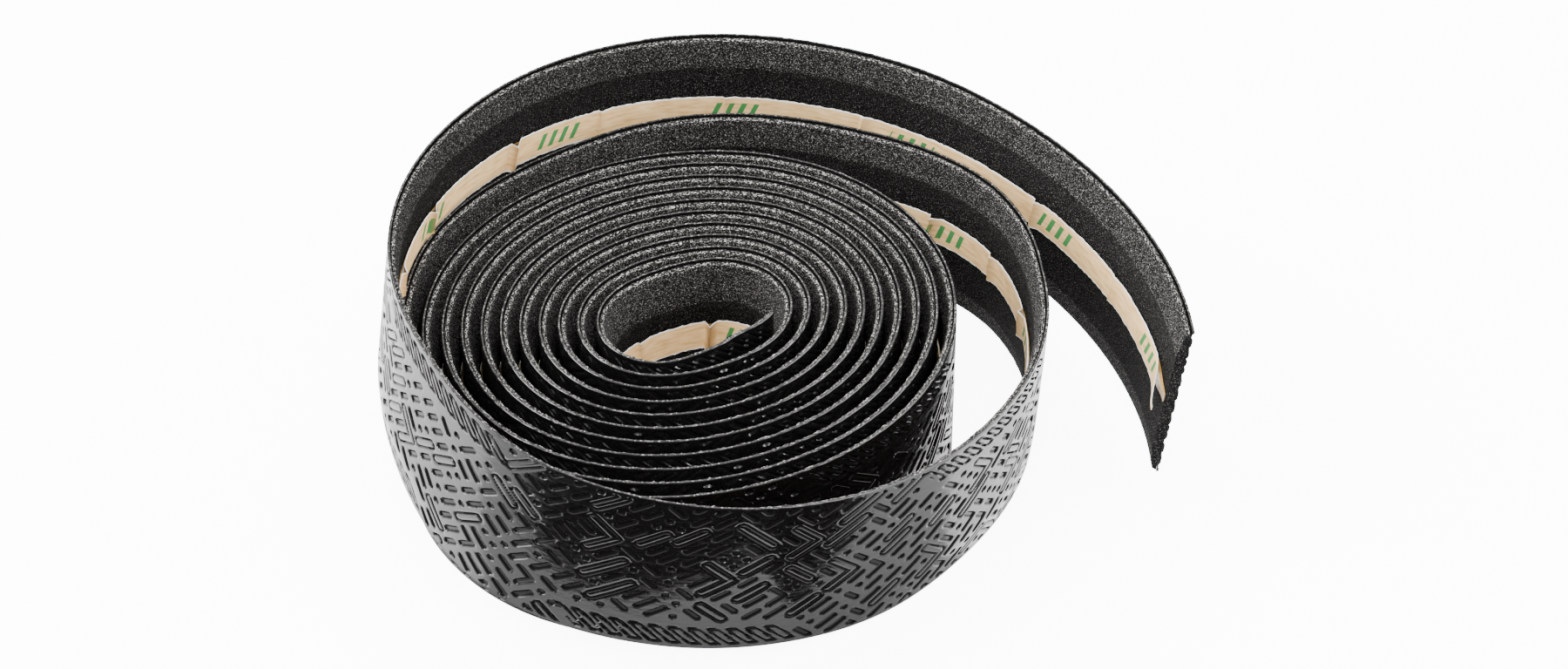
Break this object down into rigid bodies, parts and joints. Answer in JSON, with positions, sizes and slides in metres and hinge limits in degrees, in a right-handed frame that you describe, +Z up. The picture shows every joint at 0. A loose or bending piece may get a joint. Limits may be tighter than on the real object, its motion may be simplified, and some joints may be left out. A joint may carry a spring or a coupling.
{
  "type": "handlebar grip tape roll",
  "caption": "Loosely wound roll of black embossed handlebar grip tape with a bevelled foam back, an adhesive strip and its paper release liner; the free end stands clear.",
  "frame": {"origin": "middle of the bounding box's base, on the floor that the roll stands on", "axes": "+Z up, along the winding's axis; +X towards the side where the free end stands clear; the free end's cut faces -Y"},
  "size_m": [0.125, 0.1028, 0.0463],
  "materials": {
    "skin": "semi-gloss debossed polyurethane",
    "foam": "matte, fine granular foam",
    "adhesive": "tacky amber film",
    "liner": "matte creased paper"
  },
  "bodies": {
    "roll": {"grip_skin_roll": "skin", "foam_backing_roll": "foam", "adhesive_strip_roll": "adhesive", "release_liner_roll": "liner"},
    "free_tail": {"grip_skin_tail": "skin", "foam_backing_tail": "foam", "adhesive_strip_tail": "adhesive", "release_liner_tail": "liner"}
  },
  "joints": [
    {"name": "tail_flex", "type": "hinge", "parent": "roll", "child": "free_tail", "pos_m": [-0.0144, 0.04969, 0.02609], "axis": [0.0896, 0, 0.996], "range_deg": [-4, 45], "stiffness_Nm_per_rad": 0.01}
  ]
}
